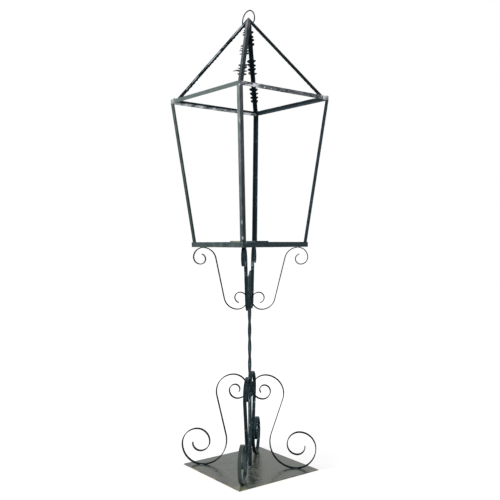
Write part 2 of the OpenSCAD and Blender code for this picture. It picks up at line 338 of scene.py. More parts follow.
def finish(name, dark, light, worn, patch=0.03, contrast=1.6, wear=0.45, chips=0.0,
           rough=(0.34, 0.52), bump=0.25, brush=1.0, sheen=0.5, spots=(), band=None,
           grain=None, tint=TEAL):
    """A painted-iron material: colours are linear, rough is the range over the patches.

    Spots are (middle in mm, reach in mm, raggedness, strength, colour). A band is two
    heights in mm and a colour, into which the patches fade from the first to the second.
    A grain below 1 along an axis draws the patches out along it. The wear-and-light colour
    shows where the corners wear; in some finishes it is a painted highlight along them, in
    others painted shade, and in one a painted reflection along a line.
    """
    material = bpy.data.materials.new(name)
    w = Wiring(material)
    place = w.add("ShaderNodeTexCoord")["Object"]
    drawn = w.vectors("MULTIPLY", {0: place, 1: grain}) if grain else place
    paint = w.add("ShaderNodeGroup",
                  {"Place": drawn, "Dark": (*dark, 1), "Light": (*light, 1),
                   "Patch size": patch, "Contrast": contrast, "Brush depth": brush},
                  node_tree=PATCHES)
    edge = w.add("ShaderNodeAttribute", attribute_name="edge")["Fac"]
    wear_and_light_mask = w.add("ShaderNodeGroup",
                 {"Place": drawn, "Edge": edge, "Amount": wear, "Chips": chips},
                 node_tree=WEAR_AND_LIGHT)["Worn"]
    ground = paint["Color"]
    if band:
        start, stop, tone = band
        height = w.add("ShaderNodeSeparateXYZ", {"Vector": place})["Z"]
        ground = w.blend(w.ranged(height, start * MM, stop * MM), ground, (*tone, 1))
    ground = w.blend(wear_and_light_mask, ground, (*worn, 1))
    for middle, reach, ragged, strength, tone in spots:
        crumb = max(SMALLEST_CRUMB, reach * CRUMB_SHARE)
        mask = w.add("ShaderNodeGroup",
                     {"Place": place, "Middle": middle * MM, "Reach": reach * MM,
                      "Ragged": ragged, "Crumb size": crumb * MM, "Strength": strength},
                     node_tree=SPOT)["Mask"]
        ground = w.blend(mask, ground, (*tone, 1))
    bumps = w.add("ShaderNodeBump",
                  {"Height": paint["Height"], "Strength": bump, "Distance": BUMP_HEIGHT})[0]
    shader = w.add("ShaderNodeBsdfPrincipled",
                   {"Base Color": ground, "Roughness": w.ranged(paint["Patch"], 0, 1, *rough),
                    "Normal": bumps, "Specular IOR Level": sheen,
                    "Specular Tint": (*tint, 1)})[0]
    w.add("ShaderNodeOutputMaterial", {"Surface": shader})
    return material


# %% Spots and families of paint
# The near, the right and the left corner of the lantern in the picture
near, right_end, left_end = (LANTERN_CORNERS[c]
                             for c in ("front_right", "back_right", "front_left"))
# A small painted highlight at the near corner's top joint, shared by several finishes
near_joint_highlight = (around(near, 291, CAGE_TOP - 14), 4, 1.2, 0.8, (0.60, 0.72, 0.76))
foot_spot = (around(near, 214, LANTERN_FLOOR + 32), 6, 1.8, 0.8, (0.40, 0.46, 0.44))
right_rail_middle = around(near, 290, CAGE_TOP).lerp(around(right_end, 290, CAGE_TOP), 0.31)

SATIN = {"rough": (0.38, 0.55)}
MATT = {"rough": (0.5, 0.65), "sheen": 0.08}
GREY = {"contrast": 2.6, "rough": (0.45, 0.65), "sheen": 0.25}
UPRIGHT = {**GREY, "patch": 0.014, "grain": (1, 1, 0.35), "spots": [near_joint_highlight, foot_spot]}
UPRIGHT_BAND = (CAGE_TOP + 30, LANTERN_FLOOR - 60)
print("corners at", near, right_end, left_end, "degrees")

# %% Paints of the stand
BLACK = finish("bar_paint", (0.001, 0.004, 0.006), (0.006, 0.018, 0.024), (0.09, 0.14, 0.16),
               wear=0.32, sheen=0.22, **SATIN)
STRAP_BLACK = finish(
    "strap_paint", (0.0008, 0.002, 0.003), (0.002, 0.006, 0.008), (0.03, 0.05, 0.06),
    wear=0.2, rough=(0.62, 0.75), sheen=0.03)
# The near and the far scroll, seen flat on: worn paint whose bright specks are partly wear and
# partly painted highlights, lighter round the near foot
HANDLED_GLINTING = finish(
    "handled_strap_paint", (0.001, 0.004, 0.006), (0.009, 0.022, 0.028), (0.26, 0.33, 0.36),
    patch=0.012, contrast=2.6, wear=0.36, chips=0.06, rough=(0.3, 0.5), sheen=0.2,
    spots=[(around(CORNERS["front_right"], 225, 85), 140, 2.0, 0.6, (0.070, 0.080, 0.072))])
STEM_PAINT = finish(
    "stem_paint", (0.001, 0.003, 0.005), (0.016, 0.034, 0.044), (0.30, 0.38, 0.42),
    patch=0.012, contrast=3.0, wear=0.30, chips=0.04, rough=(0.16, 0.36), bump=0.4)
PAN = finish("pan_paint", (0.026, 0.032, 0.021), (0.072, 0.086, 0.046), (0.17, 0.19, 0.12),
             patch=0.012, contrast=2.0, wear=0.5, sheen=0.3)
PLATE = finish(
    "base_paint", (0.016, 0.022, 0.017), (0.080, 0.092, 0.074), (0.24, 0.16, 0.09),
    contrast=3.0, wear=0.62, rough=(0.20, 0.34), bump=0.10, sheen=0.36,
    tint=(0.92, 1.0, 0.86), spots=[(around(CORNERS["front_right"], 236, BASE_THICK), 34, 1.0,
                                    0.5, (0.20, 0.22, 0.12))])
# Welds: lighter paint with bright chips, a painted highlight for the lumps
BEAD = finish("weld_paint", (0.004, 0.008, 0.010), (0.12, 0.15, 0.16), (0.75, 0.78, 0.80),
              patch=0.006, contrast=5.0, wear=0.2, chips=0.2, rough=(0.16, 0.32))
print("paints:", sum(m.name.endswith("paint") for m in bpy.data.materials))

# %% Paints of the lantern
# The lower front rail: lighter paint that stands for the light on its lit side, with painted
# shade at its left end
LIT_FRONT_GREY = finish(
    "greyed_paint", (0.014, 0.024, 0.026), (0.066, 0.086, 0.082), (0.17, 0.21, 0.20),
    patch=0.018, wear=0.30, **GREY,
    spots=[(around(left_end, LOWER_SIDE / 2 * math.sqrt(2), LANTERN_FLOOR + 9), 9, 0.2, 0.95,
            (0.006, 0.012, 0.014))])
# The near upright's two faces: its lit face in lighter paint that stands for the light on it,
# darker towards the bottom, and its shaded face in painted shade with dark corners
UPRIGHT_LIT = finish(
    "upright_light_paint", (0.070, 0.085, 0.085), (0.230, 0.255, 0.250), (0.34, 0.37, 0.36),
    wear=0.2, band=(*UPRIGHT_BAND, (0.020, 0.030, 0.031)), **UPRIGHT)
UPRIGHT_SHADE = finish(
    "upright_shade_paint", (0.030, 0.034, 0.038), (0.120, 0.118, 0.132),
    (0.01, 0.012, 0.014), wear=0.5, band=(*UPRIGHT_BAND, (0.014, 0.020, 0.022)),
    **{**UPRIGHT, "sheen": 0.2})
SIDE_UPRIGHT = finish(
    "side_upright_paint", (0.014, 0.022, 0.024), (0.145, 0.165, 0.165),
    (0.002, 0.004, 0.005), patch=0.012, contrast=2.6, wear=0.75, rough=(0.5, 0.65),
    sheen=0.12, grain=UPRIGHT["grain"],
    band=(CAGE_TOP + 200, LANTERN_FLOOR - 60, (0.020, 0.030, 0.031)))
SLATE = finish("slate_paint", (0.006, 0.012, 0.017), (0.030, 0.044, 0.053), (0.12, 0.16, 0.18),
               patch=0.025, contrast=2.2, wear=0.34, sheen=0.25, **SATIN)
# The upper front rail: a greener dusty paint, also lighter for the light on its lit side, with
# the near joint's painted highlight and a lighter spot at its left end
DUSTY_LIT = finish(
    "dusty_paint", (0.060, 0.078, 0.076), (0.110, 0.132, 0.126), (0.22, 0.25, 0.24),
    patch=0.025, wear=0.28, rough=(0.5, 0.7), sheen=0.25,
    spots=[near_joint_highlight,
           (around(left_end, 280, CAGE_TOP - 6), 20, 2.6, 0.8, (0.30, 0.31, 0.31))])
# The right upper rail: chipped paint whose bright specks are partly real chips and partly
# painted highlights, a darker spot in its middle, a painted highlight at its right end with a
# darker spot below it, and the near joint's painted highlight
CHIPPED_GLINTING = finish(
    "chipped_paint", (0.002, 0.003, 0.004), (0.17, 0.16, 0.18), (0.85, 0.85, 0.90),
    patch=0.006, contrast=8.0, wear=-0.5, chips=0.36, rough=(0.25, 0.5), bump=0.6,
    brush=2.0, grain=(0.9, 0.4, 1.2),
    spots=[(right_rail_middle, 58, 3.4, 0.85, (0.012, 0.014, 0.018)),
           (around(right_end, 285, CAGE_TOP - 5), 30, 2.6, 0.95, (0.82, 0.82, 0.86)),
           (around(right_end, 286, CAGE_TOP - 16), 16, 3.0, 0.9, (0.020, 0.024, 0.028)),
           near_joint_highlight])
# The inner face of the left upper rail: a broken painted highlight below, and a dark strip along
# its top, a painted shadow under the flat leg
INNER_FACE_LIGHT = finish(
    "scuffed_paint", (0.10, 0.13, 0.15), (0.95, 0.97, 1.0), (0.90, 0.93, 0.96),
    patch=0.010, contrast=5.0, wear=0.1, rough=(0.3, 0.5), sheen=0.2, grain=(1.0, 0.3, 1.0),
    band=(CAGE_TOP - 5.6, CAGE_TOP - 4.6, (0.001, 0.003, 0.005)))
print("paints:", sum(m.name.endswith("paint") for m in bpy.data.materials))

# %% Paints of the roof and the ring
# The front roof bar's lit face, in lighter paint that stands for the light on it, darker towards
# the foot and lighter by the point; and its shaded face, in painted shade
HIP_LIT = finish(
    "front_hip_paint", (0.008, 0.014, 0.016), (0.105, 0.120, 0.120), (0.26, 0.29, 0.30),
    patch=0.010, contrast=6.0, wear=0.36, chips=0.04, rough=(0.4, 0.55), sheen=0.2,
    band=(ROOF_POINT - 70, CAGE_TOP - 30, (0.012, 0.020, 0.022)),
    spots=[(ROOF_TIP, 85, 2.0, 0.7, (0.19, 0.19, 0.21))])
HIP_SHADE = finish(
    "front_hip_shade", (0.001, 0.004, 0.006), (0.016, 0.026, 0.032), (0.20, 0.24, 0.27),
    patch=0.011, contrast=3.0, wear=0.3, chips=0.04, rough=(0.45, 0.6), sheen=0.1,
    spots=[(ROOF_TIP, 75, 1.8, 0.85, (0.11, 0.11, 0.12))])
ROOF_BLACK = finish("roof_bar_paint", (0.0008, 0.003, 0.004), (0.004, 0.013, 0.017),
                    (0.06, 0.09, 0.10), wear=0.32, **MATT)
# The front left roof bar: a broken painted reflection along one leg, drawn by its negative wear
# on the line in "edge"
HIP_REFLECTION = finish("streaked_hip_paint", (0.0008, 0.002, 0.003), (0.003, 0.009, 0.012),
                  (0.33, 0.39, 0.42), patch=0.014, contrast=3.0, wear=-1.15, **MATT)
RING_PAINT = finish("ring_paint", (0.001, 0.002, 0.003), (0.022, 0.024, 0.030),
                    (0.12, 0.13, 0.15), patch=0.018, contrast=3.5, wear=0.4, **MATT)
print("finishes:", len(bpy.data.materials))

# %% [markdown]
# ## Running a section along a path
# Almost everything here is rolled bar: flat strap, square bar, angle iron, round bar.
# Rolled bar is one section repeated along a line, whether that line is straight, a scroll
# or a twist. So one Geometry Nodes tree makes them all. It turns a chain of points into a
# curve, sets how the section is turned at each point from the attribute "side", sweeps
# the section, and then dents the surface a little, as a hammer does. The result is
# turned into a plain mesh, and the tree is taken off again.

# %% Geometry Nodes: a section along a path


def sweep_tree():
    w = Group("section along a path", "GeometryNodeTree",
              {"Path": GEOMETRY, "Section": OBJECT, "Dent depth": NUMBER,
               "Dent size": NUMBER, "Seed": INTEGER, "Finish": MATERIAL}, {"Bar": GEOMETRY})
    curve = w.add("GeometryNodeMeshToCurve", {"Mesh": w.start["Path"]})[0]
    turned = w.add("GeometryNodeSetCurveNormal",
                   {"Curve": curve, "Normal": w.carried("side")}, mode="FREE")[0]
    section = w.add("GeometryNodeObjectInfo", {"Object": w.start["Section"]})["Geometry"]
    outline = w.add("GeometryNodeMeshToCurve", {"Mesh": section})[0]
    bar = w.add("GeometryNodeCurveToMesh",
                {"Curve": turned, "Profile Curve": outline, "Fill Caps": True})[0]
    place = w.add("GeometryNodeInputPosition")[0]
    scale = w.math("DIVIDE", 1.0, w.start["Dent size"])
    marks = w.add("ShaderNodeTexNoise",
                  {"Vector": place, "W": w.start["Seed"], "Scale": scale, "Detail": 2.0},
                  noise_dimensions="4D")["Fac"]
    depth = w.math("MULTIPLY", w.math("SUBTRACT", marks, 0.5), w.start["Dent depth"])
    normal = w.add("GeometryNodeInputNormal")[0]
    return w.finished("Bar", w.moved(bar, normal, depth))


SWEEP = sweep_tree()

# %% From points to a plain mesh
SHARP_ANGLE = 32  # degrees between two faces, over which their edge stays sharp
SAWN_WEAR = 0.8  # the value of "edge" round a sawn face
SAME_PLACE = 1e-7  # metres


def wires(name, rows, closed=False):
    """A mesh object of rows of points in metres, each joined from one to the next."""
    points, links = [], []
    for row in rows:
        first, count = len(points), len(row)
        points += [tuple(p) for p in row]
        links += [(first + i, first + (i + 1) % count)
                  for i in range(count if closed else count - 1)]
    mesh = bpy.data.meshes.new(name)
    mesh.from_pydata(points, links, [])
    return add_object(name, mesh)


def chain(name, points, closed=False, **attributes):
    """One row of points that carries attributes for a tree to read."""
    made = wires(name, [points], closed)
    for title, values in attributes.items():
        vector = isinstance(values[0], Vector)
        layer = made.data.attributes.new(title, "FLOAT_VECTOR" if vector else "FLOAT", "POINT")
        flat = [c for v in values for c in v] if vector else values
        layer.data.foreach_set("vector" if vector else "value", flat)
    return made


def smooth(piece):
    """Smooth shading, with sharp edges kept."""
    piece.data.shade_smooth()
    piece.data.set_sharp_from_angle(angle=math.radians(SHARP_ANGLE))


def baked(source, name):
    """A plain mesh object in the place of an object with modifiers."""
    ready = source.evaluated_get(bpy.context.evaluated_depsgraph_get())
    mesh = bpy.data.meshes.new_from_object(ready)
    mesh.name = name
    bpy.data.objects.remove(source)
    return add_object(name, mesh)


def run_tree(source, tree, name, **values):
    """Runs a tree on a source object and gives the result as a plain mesh object."""
    modifier = source.modifiers.new(tree.name, "NODES")
    modifier.node_group = tree
    for item in tree.interface.items_tree:
        key = item.name.lower().replace(" ", "_")
        if item.in_out == "INPUT" and key in values:
            modifier[item.identifier] = values[key]
    made = baked(source, name)
    if "side" in made.data.attributes:
        made.data.attributes.remove(made.data.attributes["side"])
    smooth(made)
    return made


def swept(name, points, sides, section, finish, dent, seed=1, dent_size=0.02, closed=False):
    """A bar: the section run along the points (mm), its own X axis turned to each side."""
    if isinstance(sides, Vector):
        sides = [sides] * len(points)
    source = chain(name + "_path", [p * MM for p in points], closed, side=sides)
    return run_tree(source, SWEEP, name, section=section, dent_depth=dent * MM,
                    dent_size=dent_size, seed=seed, finish=finish)


def straight(start, stop, steps):
    """The points of a straight path."""
    return [start.lerp(stop, k / steps) for k in range(steps + 1)]


def saw(piece, cuts):
    """Saws a piece off at planes, each a point (mm) and the direction of the waste."""
    work = bmesh.new()
    work.from_mesh(piece.data)
    edge = work.verts.layers.float.get("edge")
    for point, waste in cuts:
        every = work.verts[:] + work.edges[:] + work.faces[:]
        cut = bmesh.ops.bisect_plane(work, geom=every, plane_co=point * MM, plane_no=waste,
                                     clear_outer=True, dist=SAME_PLACE)
        rim = [g for g in cut["geom_cut"] if isinstance(g, bmesh.types.BMEdge)]
        bmesh.ops.holes_fill(work, edges=rim)
        for g in rim:
            for vertex in g.verts:
                vertex[edge] = SAWN_WEAR
    work.to_mesh(piece.data)
    work.free()
    smooth(piece)
    return piece


def block(width, height, bottom, turn=0.0):
    """A square box to work on, from its sizes and the height of its bottom in mm."""
    work = bmesh.new()
    place = (Matrix.Rotation(math.radians(turn), 4, "Z")
             @ Matrix.Translation((0, 0, (bottom + height / 2) * MM))
             @ Matrix.Diagonal((width * MM, width * MM, height * MM, 1)))
    bmesh.ops.create_cube(work, size=1, matrix=place)
    return work


def mesh_of(work, name):
    """Ends the work on a shape with a mesh of it."""
    mesh = bpy.data.meshes.new(name)
    work.to_mesh(mesh)
    work.free()
    return mesh


# %% [markdown]
# ## The sections
# Hot-rolled bar never has knife edges: its corners are rounded by the rollers, and an
# angle iron has a soft fillet inside its heel. Those small roundings catch the light, so
# each section is drawn with them. Points on a rounded corner carry up to 1 in the
# attribute "edge" and points on the flats carry 0, which is what the paint's wear reads.
# The roof bars' section also has a line on each leg that carries -1, for a finish whose
# wear is negative: it shows a painted reflection along that line and nowhere else.

# %% Sections
FADE = 0.9  # mm beside a rounded corner, over which its wear fades
LONG_SIDE = 8  # mm
STOCK_ROUNDS, STEM_ROUNDS = 0.5, 0.3
ANGLE_ROUNDS = (0.9, 0.3, 1.1, 1.6, 1.1, 0.3)  # the heel, then round the two legs
RING_SIDES, RING_WEAR = 20, 0.25
# How much smaller the ring's wire and the upper square are than in the solids, in mm, so
# that their dents stay inside the solids' box
WIRE_SPARE, RAIL_SPARE = 0.03, 0.25


def section(name, corners, rounds, wears, lined=False):
    """A closed outline in mm with right-angled corners, each with its radius and its wear.

    When lined, each long side has a point three quarters of the way from the heel that
    carries the value -1.
    """
    corners = [Vector((*corner, 0)) for corner in corners]
    points, edges = [], []
    for i, (here, radius, wear) in enumerate(zip(corners, rounds, wears)):
        ahead = corners[(i + 1) % len(corners)]
        before, after = corners[i - 1] - here, ahead - here
        step = min(radius + FADE, min(before.length, after.length) * 0.49)
        before.normalize()
        after.normalize()
        outer = before.x * after.y - before.y * after.x < 0
        middle = here + (before + after) * radius
        turns = [math.radians(degrees) for degrees in (0, 30, 60, 90)]
        points += [here + before * step,
                   *(middle - after * radius * math.cos(a) - before * radius * math.sin(a)
                     for a in turns),
                   here + after * step]
        edges += [0.0, *[wear if outer else 0.0] * len(turns), 0.0]
        if lined and (ahead - here).length > LONG_SIDE:
            points.append(here.lerp(ahead, 0.25 if ahead.length < here.length else 0.75))
            edges.append(-1.0)
    return chain(name, [p * MM for p in points], closed=True, edge=edges)


def flat_section(name, width, thick, radius):
    """A flat or square bar, centred."""
    x, y = width / 2, thick / 2
    return section(name, [(-x, -y), (x, -y), (x, y), (-x, y)], [radius] * 4, [1.0] * 4)


def angle_section(name, leg, toe_wear=1.0, lined=False):
    """Angle iron with its heel at the origin and its legs towards -X and -Y."""
    t = ANGLE_THICK
    return section(name, [(0, 0), (-leg, 0), (-leg, -t), (-t, -t), (-t, -leg), (0, -leg)],
                   ANGLE_ROUNDS, [1.0] + [toe_wear] * 5, lined)


STRAP = flat_section("strap_section", STRAP_WIDTH, STRAP_THICK, STOCK_ROUNDS)
SQUARE = flat_section("square_section", STEM_SIDE, STEM_SIDE, STEM_ROUNDS)
LOWER_ANGLE = angle_section("lower_angle", LOWER_LEG)
UPPER_ANGLE = angle_section("upper_angle", UPPER_LEG)
ROOF_ANGLE = angle_section("roof_angle", ROOF_LEG, toe_wear=0.35, lined=True)
circle = [around(360 * i / RING_SIDES, (RING_WIRE - WIRE_SPARE) / 2) * MM
          for i in range(RING_SIDES)]
WIRE = chain("wire_section", circle, closed=True, edge=[RING_WEAR] * RING_SIDES)
SECTIONS = [STRAP, SQUARE, LOWER_ANGLE, UPPER_ANGLE, ROOF_ANGLE, WIRE]
print("sections:", [s.name for s in SECTIONS])

# %% [markdown]
# ## The base plate
# A sheared square of plate: flat, heavy, with a rounded upper edge from shearing and rust
# along the rim where feet and damp get to it. A bevelled slab with an inset rim is all it
# needs, and the rim's values in "edge" tell the paint where to rust.

# %% Base plate
SHEARED_ROUND = 0.6  # mm
RIMS = (1.6, 5.0)  # widths in mm of the strips along the rim


def base_plate():
    work = block(BASE_SIDE, BASE_THICK, 0)
    bmesh.ops.bevel(work, geom=work.edges[:], offset=SHEARED_ROUND * MM, segments=3,
                    profile=0.5, affect="EDGES")
    flats = [f for f in work.faces if f.calc_area() > 0.5 * (BASE_SIDE * MM) ** 2]
    for rim in RIMS:
        bmesh.ops.inset_region(work, faces=flats, thickness=rim * MM)
    edge = work.verts.layers.float.new("edge")
    for vertex in work.verts:
        inside = BASE_SIDE / 2 - max(abs(vertex.co.x), abs(vertex.co.y)) / MM
        vertex[edge] = 1.0 if inside < 1 else 0.45 if inside < 3 else 0.0
    made = add_object("base_slab", mesh_of(work, "base_slab"))
    made.data.materials.append(PLATE)
    smooth(made)
    return made


plate = base_plate()
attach(plate, "stand")
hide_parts("base_plate")
print("plate:", [round(d * 1000, 1) for d in plate.dimensions], "mm")

# %% [markdown]
# ## The twisted stem
# The smith clamps a hot square bar at two places and turns one end by nearly a full turn.
# The corners become a left-handed screw and the ends stay plain. The sweep does the same:
# the section's side direction turns with height between the two clamps. The top end is
# sawn on a slant.

# %% Stem
STEM_STEP = 2.5  # mm


def stem_turn(height):
    """How far the bar is twisted at a height, in degrees."""
    share = min(1.0, max(0.0, (height - TWIST_START) / TWIST_LENGTH))
    return -(360 - LANTERN_TURN) * share


stem_heights = [BASE_THICK + 0.05]
while stem_heights[-1] < STEM_TOP:
    stem_heights.append(stem_heights[-1] + STEM_STEP)
stem = swept("twisted_stem", [UP * h for h in stem_heights],
             [around(stem_turn(h)) for h in stem_heights], SQUARE, STEM_PAINT, dent=0.5,
             dent_size=0.012)
back = around(90 + LANTERN_TURN)
saw(stem, [(UP * (STEM_TOP - STEM_SLANT / 2),
            (UP * STEM_SIDE - back * STEM_SLANT).normalized())])
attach(stem, "stand")
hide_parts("stem")
print("stem:", len(stem.data.polygons), "faces")

# %% [markdown]
# ## The scrolls
# A scroll is flat strap pulled round a jig. Its curl is a run of quarter arcs, each
# smaller than the last by the same ratio, and the two curls of an S are joined by a
# straight run that touches both. The points of that path are worked out here, and the
# tree runs the strap along them, with its width square to the scroll's plane.

# %% Path of a scroll
CURL_STEP, RUN_STEP = 2.5, 3  # mm between points


def curl_path(radius, ratio, quarters, last, tilt):
    """Points of a curl from its straight run inwards, from the middle of its first arc."""
    points, middle = [], Vector((0, 0))
    for i in range(quarters + 1):
        if i:
            step = radius * ratio ** (i - 1) * (1 - ratio)
            middle = middle + step * Vector((round(math.cos(math.pi / 2 * i)),
                                             round(math.sin(math.pi / 2 * i))))
        start = -tilt if i == 0 else 90 * i
        stop = 90 * (i + 1) if i < quarters else 90 * i + last
        here = radius * ratio ** i
        steps = max(4, round(math.radians(stop - start) * here / CURL_STEP))
        for k in range(steps + (i == quarters)):
            a = math.radians(start + (stop - start) * k / steps)
            points.append(middle + here * Vector((math.cos(a), math.sin(a))))
    return points


def scroll_path(near, near_curl, far, far_curl):
    """Points (distance, height) of an S-scroll from its near end to its far end."""
    run = far - near
    radii = near_curl[0] + far_curl[0]
    tilt = math.degrees(math.asin(radii / run.length) - math.atan2(run.y, run.x)) - 90
    first = [near + p for p in curl_path(*near_curl, tilt)][::-1]
    second = [far - p for p in curl_path(*far_curl, tilt)]
    gap = second[0] - first[-1]
    steps = round(gap.length / RUN_STEP)
    run = [first[-1] + gap * k / steps for k in range(1, steps)]
    return first + run + second


def strap_scroll(name, path, corner, seed):
    """Runs the strap along a scroll's path in the upright plane through a corner."""
    points = [around(corner, p.x, p.y) for p in path]
    # The two scrolls seen flat on get wear and painted highlights
    paint = HANDLED_GLINTING if "front_right" in name or "back_left" in name else STRAP_BLACK
    return swept(name, points, around(corner + 90), STRAP, paint, dent=0.35, seed=seed)


# %% Floor scrolls and lantern brackets
scrolls = []
for number, (corner, angle) in enumerate(CORNERS.items()):
    path = scroll_path(
        Vector((STRAP_SEAT + CROWN_RADIUS * CROWN_RATIO,
                SCROLL_TOP - STRAP_THICK / 2 - CROWN_RADIUS)),
        (CROWN_RADIUS, CROWN_RATIO, FLOOR_QUARTERS, CROWN_LAST),
        Vector((off_centre(angle, FOOT_DISTANCE, -FOOT_SHIFT), FOOT_LINE + FOOT_RADIUS)),
        (FOOT_RADIUS, FOOT_RATIO, FLOOR_QUARTERS, FOOT_LAST))
    scroll = strap_scroll("foot_scroll_" + corner, path, angle, 11 + number)
    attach(scroll, "stand")
    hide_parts("floor_scroll_" + corner)
    path = scroll_path(
        Vector((STRAP_SEAT + HEEL_RADIUS * BRACKET_RATIO,
                -(BRACKET_BOTTOM + STRAP_THICK / 2 + HEEL_RADIUS))),
        (HEEL_RADIUS, BRACKET_RATIO, BRACKET_QUARTERS, HEEL_LAST),
        Vector((off_centre(angle, HEAD_DISTANCE, HEAD_SHIFT), HEAD_RADIUS - HEAD_LINE)),
        (HEAD_RADIUS, BRACKET_RATIO, BRACKET_QUARTERS, HEAD_LAST))
    path = [Vector((p.x, -p.y)) for p in path]
    holder = strap_scroll("holder_scroll_" + corner, path, angle + LANTERN_TURN, 21 + number)
    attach(holder, "stand")
    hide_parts("bracket_" + corner)
    scrolls += [scroll, holder]
print("scrolls:", len(scrolls), "with", sum(len(s.data.polygons) for s in scrolls), "faces")

# %% [markdown]
# ## The lantern's floor
# Four lengths of angle iron, mitred at the corners, make the lower square, with the flat
# legs turned inwards. Flat bars cross inside them and carry the pan. The pan is a folded
# tray of thin sheet.

# %% Squares of angle iron
RAIL_EXTRA, RAIL_STEPS = 12, 90  # mm of waste beyond each mitre, and pieces of the path


def rail(name, side, half, height, section_object, finish, at_top, dent, seed):
    """One mitred rail. The flat leg is at the top or at the bottom, turned inwards."""
    outward, along = around(side + LANTERN_TURN), around(side + LANTERN_TURN + 90)
    reach = along * (half + RAIL_EXTRA) * (-1 if at_top else 1)
    middle = outward * half + UP * height
    made = swept(name, straight(middle - reach, middle + reach, RAIL_STEPS), outward,
                 section_object, finish, dent, seed)
    return saw(made, [(Vector((0, 0, 0)), (end - outward).normalized())
                      for end in (along, -along)])


for number, (side, angle) in enumerate(SIDES.items()):
    # The front rail gets lighter paint for the light on its lit side
    made = rail("lower_angle_" + side, angle, LOWER_SIDE / 2, LANTERN_FLOOR, LOWER_ANGLE,
                {"front": LIT_FRONT_GREY, "right": SLATE}.get(side, BLACK), False, 0.5, 31 + number)
    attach(made, "stand")
    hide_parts("lower_rail_" + side)
print("lower square:", LOWER_SIDE, "mm")

# %% Flat bars under the pan
FLAT_STEPS = 60
corner_reach = (LOWER_SIDE / 2 - LOWER_LEG - WELD_GAP) * math.sqrt(2)
floor_z = LANTERN_FLOOR + STRAP_THICK / 2
for node, corner, start in (("floor_bar", "back_right", -corner_reach),
                            ("floor_half_bar_back", "back_left", STRAP_WIDTH / 2),
                            ("floor_half_bar_front", "front_right", STRAP_WIDTH / 2)):
    angle = LANTERN_CORNERS[corner]
    points = straight(around(angle, start, floor_z), around(angle, corner_reach, floor_z),
                      FLAT_STEPS)
    made = swept(node + "_strap", points, around(angle + 90), STRAP, BLACK, dent=0.3)
    ends = (1,) if start > 0 else (1, -1)  # a half bar is butted square at its start
    saw(made, [(around(angle, end * corner_reach), around(angle + turned) * end)
               for end in ends for turned in (-45, 45)])
    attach(made, "stand")
    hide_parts(node)
print("floor bars reach", round(corner_reach, 1), "mm")

# %% Candle pan
FOLD_ROUND, RIM_ROUND, RIM_WORN = 2.4, 0.35, 0.5  # mm
SAME_WAY = 0.8  # how closely a face has to look in a direction, 1 being exactly


def repaint(piece, finish, direction):
    """Gives the faces that look in one direction another finish."""
    piece.data.materials.append(finish)
    last = len(piece.data.materials) - 1
    for face in piece.data.polygons:
        if face.normal.dot(direction) > SAME_WAY:
            face.material_index = last


def candle_pan():
    work = block(PAN_SIDE, PAN_HEIGHT, LANTERN_FLOOR + STRAP_THICK, LANTERN_TURN)
    bmesh.ops.delete(work, geom=[f for f in work.faces if f.normal.z > 0.5],
                     context="FACES_ONLY")
    folds = [e for e in work.edges if not e.is_boundary]
    bmesh.ops.bevel(work, geom=folds, offset=FOLD_ROUND * MM, segments=4, profile=0.5,
                    affect="EDGES")
    bmesh.ops.recalc_face_normals(work, faces=work.faces)
    source = add_object("pan", mesh_of(work, "pan"))
    wall = source.modifiers.new("wall", "SOLIDIFY")
    wall.thickness = PAN_SHEET * MM
    wall.offset = -1
    rim = source.modifiers.new("rim", "BEVEL")
    rim.width = RIM_ROUND * MM
    rim.segments = 2
    rim.limit_method = "ANGLE"
    made = baked(source, "folded_pan")
    edge = made.data.attributes.new("edge", "FLOAT", "POINT")
    heights = [v.co.z for v in made.data.vertices]
    brim = max(heights) - RIM_WORN * MM
    edge.data.foreach_set("value", [1.0 if z > brim else 0.0 for z in heights])
    made.data.materials.append(PAN)
    smooth(made)
    return made


pan = candle_pan()
repaint(pan, BLACK, around(LANTERN_TURN))
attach(pan, "stand")
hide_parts("candle_pan")
print("pan:", len(pan.data.polygons), "faces")

# %% [markdown]
# ## The cage
# The uprights are angle iron with the heel turned outwards, leaning out from the small
# square to the large one. Their feet stand inside the lower square and their tops butt
# under the upper one. The upper square has its flat legs on top, turned inwards, for the
# roof bars to stand on.

# %% Uprights
BAR_EXTRA, BAR_STEPS = 20, 110  # mm of waste at each end, and pieces of the path


def faces_of(corner, foot, head):
    """The directions in which the clockwise and the anticlockwise face of a bar look."""
    along = (around(corner, *head) - around(corner, *foot)).normalized()
    lateral = along.cross(around(corner)).normalized()
    outward = lateral.cross(along)
    return (outward - lateral).normalized(), (outward + lateral).normalized()


def leaning_bar(name, corner, ends, section_object, finish, dent, seed):
    """An angle iron, heel outwards, between two (distance, height) ends of its heel."""
    low, high = (around(corner, *end) for end in ends)
    extra = (high - low).normalized() * BAR_EXTRA
    return swept(name, straight(low - extra, high + extra, BAR_STEPS),
                 faces_of(corner, *ends)[0], section_object, finish, dent, seed)


UPRIGHT_ENDS = (((LOWER_SIDE / 2 - ANGLE_THICK) * math.sqrt(2) - WELD_GAP,
                 LANTERN_FLOOR + LOWER_LEG), (UPPER_SIDE / math.sqrt(2), UPRIGHT_TOP))
for number, (corner, angle) in enumerate(LANTERN_CORNERS.items()):
    # The near upright's lit face gets painted light
    made = leaning_bar("cage_angle_" + corner, angle, UPRIGHT_ENDS, UPPER_ANGLE,
                       {"front_right": UPRIGHT_LIT, "front_left": SIDE_UPRIGHT,
                        "back_right": SLATE}.get(corner, BLACK), 0.5, 41 + number)
    saw(made, [(UP * UPRIGHT_TOP, UP), (UP * (LANTERN_FLOOR + ANGLE_THICK), DOWN)])
    # The near upright's second face gets painted shade
    if corner == "front_right":
        repaint(made, UPRIGHT_SHADE, faces_of(angle, *UPRIGHT_ENDS)[1])
    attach(made, "stand")
    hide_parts("upright_" + corner)
print("uprights up to", UPRIGHT_TOP, "mm")

